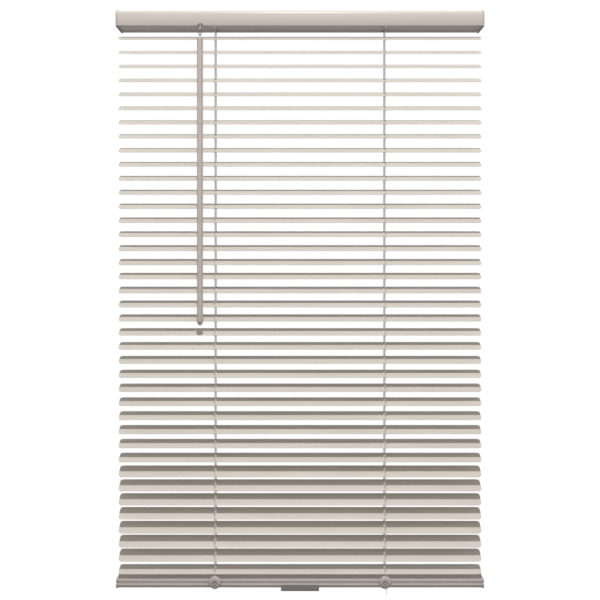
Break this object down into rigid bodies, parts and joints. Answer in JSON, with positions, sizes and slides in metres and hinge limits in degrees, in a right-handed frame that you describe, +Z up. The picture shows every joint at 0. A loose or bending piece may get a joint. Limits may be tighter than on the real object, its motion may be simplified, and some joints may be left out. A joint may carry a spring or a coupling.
{
  "type": "vinyl mini blind",
  "caption": "Horizontal mini blind with arched narrow slats on string ladders under a channel headrail, tilted by a hanging hexagonal wand and raised by a handle on its bottom rail.",
  "frame": {"origin": "middle of the headrail's flat back face, which goes to the wall or the bracket", "axes": "+X along the headrail to the viewer's right, +Y into the wall, +Z up"},
  "size_m": [0.579, 0.0517, 0.914],
  "materials": {
    "headrail_paint": "baked satin enamel",
    "slat_vinyl": "smooth satin vinyl",
    "rail_vinyl": "smooth satin vinyl",
    "trim_plastic": "moulded satin",
    "handle_plastic": "moulded satin",
    "wand_plastic": "polished",
    "mechanism_plastic": "moulded",
    "steel": "plated",
    "cord_fibre": "braided"
  },
  "bodies": {
    "headrail": {"headrail": "headrail_paint", "headrail_left_cap": "trim_plastic", "headrail_right_cap": "trim_plastic", "tilter_case": "mechanism_plastic", "drum_cradles": "mechanism_plastic", "lift_unit": "mechanism_plastic", "ladder_cords": "cord_fibre", "lift_cords": "cord_fibre"},
    "tilt_shaft": {"tilt_rod": "steel", "tilter_gear": "mechanism_plastic", "ladder_drums": "mechanism_plastic"},
    "worm": {"tilter_worm": "mechanism_plastic"},
    "wand": {"wand_hook": "steel", "wand_sleeve": "wand_plastic", "wand": "wand_plastic", "wand_tip": "wand_plastic"},
    "bottom_rail": {"bottom_rail": "rail_vinyl", "bottom_left_cap": "trim_plastic", "bottom_right_cap": "trim_plastic", "ladder_buttons": "trim_plastic", "lift_handle": "handle_plastic"},
    "slat_01": {"slat_01": "slat_vinyl"},
    "slat_02": {"slat_02": "slat_vinyl"},
    "slat_03": {"slat_03": "slat_vinyl"},
    "slat_04": {"slat_04": "slat_vinyl"},
    "slat_05": {"slat_05": "slat_vinyl"},
    "slat_06": {"slat_06": "slat_vinyl"},
    "slat_07": {"slat_07": "slat_vinyl"},
    "slat_08": {"slat_08": "slat_vinyl"},
    "slat_09": {"slat_09": "slat_vinyl"},
    "slat_10": {"slat_10": "slat_vinyl"},
    "slat_11": {"slat_11": "slat_vinyl"},
    "slat_12": {"slat_12": "slat_vinyl"},
    "slat_13": {"slat_13": "slat_vinyl"},
    "slat_14": {"slat_14": "slat_vinyl"},
    "slat_15": {"slat_15": "slat_vinyl"},
    "slat_16": {"slat_16": "slat_vinyl"},
    "slat_17": {"slat_17": "slat_vinyl"},
    "slat_18": {"slat_18": "slat_vinyl"},
    "slat_19": {"slat_19": "slat_vinyl"},
    "slat_20": {"slat_20": "slat_vinyl"},
    "slat_21": {"slat_21": "slat_vinyl"},
    "slat_22": {"slat_22": "slat_vinyl"},
    "slat_23": {"slat_23": "slat_vinyl"},
    "slat_24": {"slat_24": "slat_vinyl"},
    "slat_25": {"slat_25": "slat_vinyl"},
    "slat_26": {"slat_26": "slat_vinyl"},
    "slat_27": {"slat_27": "slat_vinyl"},
    "slat_28": {"slat_28": "slat_vinyl"},
    "slat_29": {"slat_29": "slat_vinyl"},
    "slat_30": {"slat_30": "slat_vinyl"},
    "slat_31": {"slat_31": "slat_vinyl"},
    "slat_32": {"slat_32": "slat_vinyl"},
    "slat_33": {"slat_33": "slat_vinyl"},
    "slat_34": {"slat_34": "slat_vinyl"},
    "slat_35": {"slat_35": "slat_vinyl"},
    "slat_36": {"slat_36": "slat_vinyl"},
    "slat_37": {"slat_37": "slat_vinyl"},
    "slat_38": {"slat_38": "slat_vinyl"},
    "slat_39": {"slat_39": "slat_vinyl"}
  },
  "joints": [
    {"name": "tilt_rod_turn", "type": "hinge", "parent": "headrail", "child": "tilt_shaft", "pos_m": [0, -0.027, -0.001], "axis": [1, 0, 0], "range_deg": [-90, 46], "deforming": ["ladder_cords", "lift_cords"]},
    {"name": "slat_01_tilt", "type": "hinge", "parent": "headrail", "child": "slat_01", "pos_m": [0, -0.027, -0.0261], "axis": [1, 0, 0], "range_deg": [-91, 47]},
    {"name": "slat_02_tilt", "type": "hinge", "parent": "headrail", "child": "slat_02", "pos_m": [0, -0.027, -0.04828], "axis": [1, 0, 0], "range_deg": [-91, 47]},
    {"name": "slat_03_tilt", "type": "hinge", "parent": "headrail", "child": "slat_03", "pos_m": [0, -0.027, -0.07046], "axis": [1, 0, 0], "range_deg": [-91, 47]},
    {"name": "slat_04_tilt", "type": "hinge", "parent": "headrail", "child": "slat_04", "pos_m": [0, -0.027, -0.09264], "axis": [1, 0, 0], "range_deg": [-91, 47]},
    {"name": "slat_05_tilt", "type": "hinge", "parent": "headrail", "child": "slat_05", "pos_m": [0, -0.027, -0.11482], "axis": [1, 0, 0], "range_deg": [-91, 47]},
    {"name": "slat_06_tilt", "type": "hinge", "parent": "headrail", "child": "slat_06", "pos_m": [0, -0.027, -0.137], "axis": [1, 0, 0], "range_deg": [-91, 47]},
    {"name": "slat_07_tilt", "type": "hinge", "parent": "headrail", "child": "slat_07", "pos_m": [0, -0.027, -0.15918], "axis": [1, 0, 0], "range_deg": [-91, 47]},
    {"name": "slat_08_tilt", "type": "hinge", "parent": "headrail", "child": "slat_08", "pos_m": [0, -0.027, -0.18136], "axis": [1, 0, 0], "range_deg": [-91, 47]},
    {"name": "slat_09_tilt", "type": "hinge", "parent": "headrail", "child": "slat_09", "pos_m": [0, -0.027, -0.20354], "axis": [1, 0, 0], "range_deg": [-91, 47]},
    {"name": "slat_10_tilt", "type": "hinge", "parent": "headrail", "child": "slat_10", "pos_m": [0, -0.027, -0.22572], "axis": [1, 0, 0], "range_deg": [-91, 47]},
    {"name": "slat_11_tilt", "type": "hinge", "parent": "headrail", "child": "slat_11", "pos_m": [0, -0.027, -0.2479], "axis": [1, 0, 0], "range_deg": [-91, 47]},
    {"name": "slat_12_tilt", "type": "hinge", "parent": "headrail", "child": "slat_12", "pos_m": [0, -0.027, -0.27008], "axis": [1, 0, 0], "range_deg": [-91, 47]},
    {"name": "slat_13_tilt", "type": "hinge", "parent": "headrail", "child": "slat_13", "pos_m": [0, -0.027, -0.29226], "axis": [1, 0, 0], "range_deg": [-91, 47]},
    {"name": "slat_14_tilt", "type": "hinge", "parent": "headrail", "child": "slat_14", "pos_m": [0, -0.027, -0.31444], "axis": [1, 0, 0], "range_deg": [-91, 47]},
    {"name": "slat_15_tilt", "type": "hinge", "parent": "headrail", "child": "slat_15", "pos_m": [0, -0.027, -0.33662], "axis": [1, 0, 0], "range_deg": [-91, 47]},
    {"name": "slat_16_tilt", "type": "hinge", "parent": "headrail", "child": "slat_16", "pos_m": [0, -0.027, -0.3588], "axis": [1, 0, 0], "range_deg": [-91, 47]},
    {"name": "slat_17_tilt", "type": "hinge", "parent": "headrail", "child": "slat_17", "pos_m": [0, -0.027, -0.38098], "axis": [1, 0, 0], "range_deg": [-91, 47]},
    {"name": "slat_18_tilt", "type": "hinge", "parent": "headrail", "child": "slat_18", "pos_m": [0, -0.027, -0.40316], "axis": [1, 0, 0], "range_deg": [-91, 47]},
    {"name": "slat_19_tilt", "type": "hinge", "parent": "headrail", "child": "slat_19", "pos_m": [0, -0.027, -0.42534], "axis": [1, 0, 0], "range_deg": [-91, 47]},
    {"name": "slat_20_tilt", "type": "hinge", "parent": "headrail", "child": "slat_20", "pos_m": [0, -0.027, -0.44752], "axis": [1, 0, 0], "range_deg": [-91, 47]},
    {"name": "slat_21_tilt", "type": "hinge", "parent": "headrail", "child": "slat_21", "pos_m": [0, -0.027, -0.4697], "axis": [1, 0, 0], "range_deg": [-91, 47]},
    {"name": "slat_22_tilt", "type": "hinge", "parent": "headrail", "child": "slat_22", "pos_m": [0, -0.027, -0.49188], "axis": [1, 0, 0], "range_deg": [-91, 47]},
    {"name": "slat_23_tilt", "type": "hinge", "parent": "headrail", "child": "slat_23", "pos_m": [0, -0.027, -0.51406], "axis": [1, 0, 0], "range_deg": [-91, 47]},
    {"name": "slat_24_tilt", "type": "hinge", "parent": "headrail", "child": "slat_24", "pos_m": [0, -0.027, -0.53624], "axis": [1, 0, 0], "range_deg": [-91, 47]},
    {"name": "slat_25_tilt", "type": "hinge", "parent": "headrail", "child": "slat_25", "pos_m": [0, -0.027, -0.55842], "axis": [1, 0, 0], "range_deg": [-91, 47]},
    {"name": "slat_26_tilt", "type": "hinge", "parent": "headrail", "child": "slat_26", "pos_m": [0, -0.027, -0.5806], "axis": [1, 0, 0], "range_deg": [-91, 47]},
    {"name": "slat_27_tilt", "type": "hinge", "parent": "headrail", "child": "slat_27", "pos_m": [0, -0.027, -0.60278], "axis": [1, 0, 0], "range_deg": [-91, 47]},
    {"name": "slat_28_tilt", "type": "hinge", "parent": "headrail", "child": "slat_28", "pos_m": [0, -0.027, -0.62496], "axis": [1, 0, 0], "range_deg": [-91, 47]},
    {"name": "slat_29_tilt", "type": "hinge", "parent": "headrail", "child": "slat_29", "pos_m": [0, -0.027, -0.64714], "axis": [1, 0, 0], "range_deg": [-91, 47]},
    {"name": "slat_30_tilt", "type": "hinge", "parent": "headrail", "child": "slat_30", "pos_m": [0, -0.027, -0.66932], "axis": [1, 0, 0], "range_deg": [-91, 47]},
    {"name": "slat_31_tilt", "type": "hinge", "parent": "headrail", "child": "slat_31", "pos_m": [0, -0.027, -0.6915], "axis": [1, 0, 0], "range_deg": [-91, 47]},
    {"name": "slat_32_tilt", "type": "hinge", "parent": "headrail", "child": "slat_32", "pos_m": [0, -0.027, -0.71368], "axis": [1, 0, 0], "range_deg": [-91, 47]},
    {"name": "slat_33_tilt", "type": "hinge", "parent": "headrail", "child": "slat_33", "pos_m": [0, -0.027, -0.73586], "axis": [1, 0, 0], "range_deg": [-91, 47]},
    {"name": "slat_34_tilt", "type": "hinge", "parent": "headrail", "child": "slat_34", "pos_m": [0, -0.027, -0.75804], "axis": [1, 0, 0], "range_deg": [-91, 47]},
    {"name": "slat_35_tilt", "type": "hinge", "parent": "headrail", "child": "slat_35", "pos_m": [0, -0.027, -0.78022], "axis": [1, 0, 0], "range_deg": [-91, 47]},
    {"name": "slat_36_tilt", "type": "hinge", "parent": "headrail", "child": "slat_36", "pos_m": [0, -0.027, -0.8024], "axis": [1, 0, 0], "range_deg": [-91, 47]},
    {"name": "slat_37_tilt", "type": "hinge", "parent": "headrail", "child": "slat_37", "pos_m": [0, -0.027, -0.82458], "axis": [1, 0, 0], "range_deg": [-91, 47]},
    {"name": "slat_38_tilt", "type": "hinge", "parent": "headrail", "child": "slat_38", "pos_m": [0, -0.027, -0.84676], "axis": [1, 0, 0], "range_deg": [-91, 47]},
    {"name": "slat_39_tilt", "type": "hinge", "parent": "headrail", "child": "slat_39", "pos_m": [0, -0.027, -0.86894], "axis": [1, 0, 0], "range_deg": [-91, 47]},
    {"name": "bottom_rail_tilt", "type": "hinge", "parent": "headrail", "child": "bottom_rail", "pos_m": [0, -0.027, -0.88924], "axis": [1, 0, 0], "range_deg": [-23, 12]},
    {"name": "worm_turn", "type": "hinge", "parent": "headrail", "child": "worm", "pos_m": [-0.1565, -0.047, -0.02141], "axis": [0, -0.4226, -0.9063], "range_deg": [-1270, 654]},
    {"name": "wand_turn", "type": "hinge", "parent": "headrail", "child": "wand", "pos_m": [-0.1565, -0.047, -0.02141], "axis": [0, 0, -1], "range_deg": [-1270, 654]}
  ],
  "couplings": [
    {"joint": "slat_01_tilt", "follows": "tilt_rod_turn", "ratio": 1},
    {"joint": "slat_02_tilt", "follows": "tilt_rod_turn", "ratio": 1},
    {"joint": "slat_03_tilt", "follows": "tilt_rod_turn", "ratio": 1},
    {"joint": "slat_04_tilt", "follows": "tilt_rod_turn", "ratio": 1},
    {"joint": "slat_05_tilt", "follows": "tilt_rod_turn", "ratio": 1},
    {"joint": "slat_06_tilt", "follows": "tilt_rod_turn", "ratio": 1},
    {"joint": "slat_07_tilt", "follows": "tilt_rod_turn", "ratio": 1},
    {"joint": "slat_08_tilt", "follows": "tilt_rod_turn", "ratio": 1},
    {"joint": "slat_09_tilt", "follows": "tilt_rod_turn", "ratio": 1},
    {"joint": "slat_10_tilt", "follows": "tilt_rod_turn", "ratio": 1},
    {"joint": "slat_11_tilt", "follows": "tilt_rod_turn", "ratio": 1},
    {"joint": "slat_12_tilt", "follows": "tilt_rod_turn", "ratio": 1},
    {"joint": "slat_13_tilt", "follows": "tilt_rod_turn", "ratio": 1},
    {"joint": "slat_14_tilt", "follows": "tilt_rod_turn", "ratio": 1},
    {"joint": "slat_15_tilt", "follows": "tilt_rod_turn", "ratio": 1},
    {"joint": "slat_16_tilt", "follows": "tilt_rod_turn", "ratio": 1},
    {"joint": "slat_17_tilt", "follows": "tilt_rod_turn", "ratio": 1},
    {"joint": "slat_18_tilt", "follows": "tilt_rod_turn", "ratio": 1},
    {"joint": "slat_19_tilt", "follows": "tilt_rod_turn", "ratio": 1},
    {"joint": "slat_20_tilt", "follows": "tilt_rod_turn", "ratio": 1},
    {"joint": "slat_21_tilt", "follows": "tilt_rod_turn", "ratio": 1},
    {"joint": "slat_22_tilt", "follows": "tilt_rod_turn", "ratio": 1},
    {"joint": "slat_23_tilt", "follows": "tilt_rod_turn", "ratio": 1},
    {"joint": "slat_24_tilt", "follows": "tilt_rod_turn", "ratio": 1},
    {"joint": "slat_25_tilt", "follows": "tilt_rod_turn", "ratio": 1},
    {"joint": "slat_26_tilt", "follows": "tilt_rod_turn", "ratio": 1},
    {"joint": "slat_27_tilt", "follows": "tilt_rod_turn", "ratio": 1},
    {"joint": "slat_28_tilt", "follows": "tilt_rod_turn", "ratio": 1},
    {"joint": "slat_29_tilt", "follows": "tilt_rod_turn", "ratio": 1},
    {"joint": "slat_30_tilt", "follows": "tilt_rod_turn", "ratio": 1},
    {"joint": "slat_31_tilt", "follows": "tilt_rod_turn", "ratio": 1},
    {"joint": "slat_32_tilt", "follows": "tilt_rod_turn", "ratio": 1},
    {"joint": "slat_33_tilt", "follows": "tilt_rod_turn", "ratio": 1},
    {"joint": "slat_34_tilt", "follows": "tilt_rod_turn", "ratio": 1},
    {"joint": "slat_35_tilt", "follows": "tilt_rod_turn", "ratio": 1},
    {"joint": "slat_36_tilt", "follows": "tilt_rod_turn", "ratio": 1},
    {"joint": "slat_37_tilt", "follows": "tilt_rod_turn", "ratio": 1},
    {"joint": "slat_38_tilt", "follows": "tilt_rod_turn", "ratio": 1},
    {"joint": "slat_39_tilt", "follows": "tilt_rod_turn", "ratio": 1},
    {"joint": "bottom_rail_tilt", "follows": "tilt_rod_turn", "ratio": 0.25},
    {"joint": "worm_turn", "follows": "tilt_rod_turn", "ratio": 14},
    {"joint": "wand_turn", "follows": "tilt_rod_turn", "ratio": 14}
  ]
}
